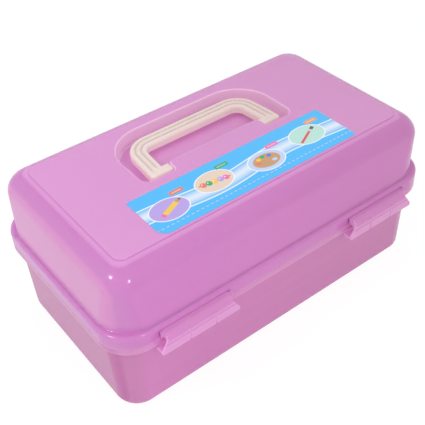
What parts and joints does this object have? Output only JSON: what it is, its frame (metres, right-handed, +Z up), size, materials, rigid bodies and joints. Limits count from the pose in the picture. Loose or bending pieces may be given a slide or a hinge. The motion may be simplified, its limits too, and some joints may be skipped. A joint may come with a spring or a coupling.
{
  "type": "art supply box",
  "caption": "Translucent plastic art box with a hinged lid, recessed carrying handle, front latches and trays that rise with the lid.",
  "frame": {"origin": "middle of the box's bottom face, on the surface that it stands on", "axes": "+X along the box, front with the latches at -Y, +Z up"},
  "size_m": [0.33, 0.2039, 0.1462],
  "materials": {
    "tub_plastic": "milky translucent rose plastic, satin inside",
    "lid_plastic": "milky translucent pink-lilac plastic, soft gloss",
    "tray_plastic": "milky translucent pink-lilac plastic",
    "handle_plastic": "cream pearl plastic with fine glitter",
    "label_print": "glossy printed film, sky blue with a pale band",
    "arm_plastic": "white plastic",
    "divider_plastic": "clear frosted plastic",
    "pin_steel": "drawn steel wire"
  },
  "bodies": {
    "tub": {"tub": "tub_plastic", "hinge_pin_left": "pin_steel", "hinge_pin_right": "pin_steel", "tub_peg_caps": "arm_plastic"},
    "lid": {"lid": "lid_plastic", "label": "label_print"},
    "handle": {"handle": "handle_plastic"},
    "latch_left": {"latch_left": "lid_plastic"},
    "latch_right": {"latch_right": "lid_plastic"},
    "arm_left": {"arm_left": "arm_plastic"},
    "arm_right": {"arm_right": "arm_plastic"},
    "lower_tray": {"lower_tray": "tray_plastic", "lower_tray_caps": "arm_plastic", "lower_divider_left": "divider_plastic", "lower_divider_middle": "divider_plastic", "lower_divider_right": "divider_plastic"},
    "upper_tray": {"upper_tray": "tray_plastic", "upper_tray_caps": "arm_plastic", "upper_divider_left": "divider_plastic", "upper_divider_right": "divider_plastic"}
  },
  "joints": [
    {"name": "lid_hinge", "type": "hinge", "parent": "tub", "child": "lid", "pos_m": [0, 0.0976, 0.0797], "axis": [-1, 0, 0], "range_deg": [0, 100]},
    {"name": "arm_left_pivot", "type": "hinge", "parent": "tub", "child": "arm_left", "pos_m": [-0.1538, 0.01, 0.076], "axis": [-1, 0, 0], "range_deg": [0, 100]},
    {"name": "arm_right_pivot", "type": "hinge", "parent": "tub", "child": "arm_right", "pos_m": [0.1538, 0.01, 0.076], "axis": [-1, 0, 0], "range_deg": [0, 100]},
    {"name": "lower_tray_pivot", "type": "hinge", "parent": "lid", "child": "lower_tray", "pos_m": [0, 0.0646, 0.0877], "axis": [-1, 0, 0], "range_deg": [-100, 0]},
    {"name": "upper_tray_pivot", "type": "hinge", "parent": "lid", "child": "upper_tray", "pos_m": [0, 0.0316, 0.0957], "axis": [-1, 0, 0], "range_deg": [-100, 0]},
    {"name": "handle_pivot", "type": "hinge", "parent": "lid", "child": "handle", "pos_m": [0, 0.0008, 0.14], "axis": [1, 0, 0], "range_deg": [0, 110]},
    {"name": "latch_left_hinge", "type": "hinge", "parent": "lid", "child": "latch_left", "pos_m": [-0.09615, -0.0946, 0.0856], "axis": [-1, 0, 0], "range_deg": [0, 75]},
    {"name": "latch_right_hinge", "type": "hinge", "parent": "lid", "child": "latch_right", "pos_m": [0.09615, -0.0946, 0.0856], "axis": [-1, 0, 0], "range_deg": [0, 75]}
  ],
  "couplings": [
    {"joint": "arm_left_pivot", "follows": "lid_hinge", "ratio": 1},
    {"joint": "arm_right_pivot", "follows": "lid_hinge", "ratio": 1},
    {"joint": "lower_tray_pivot", "follows": "lid_hinge", "ratio": -1},
    {"joint": "upper_tray_pivot", "follows": "lid_hinge", "ratio": -1}
  ]
}
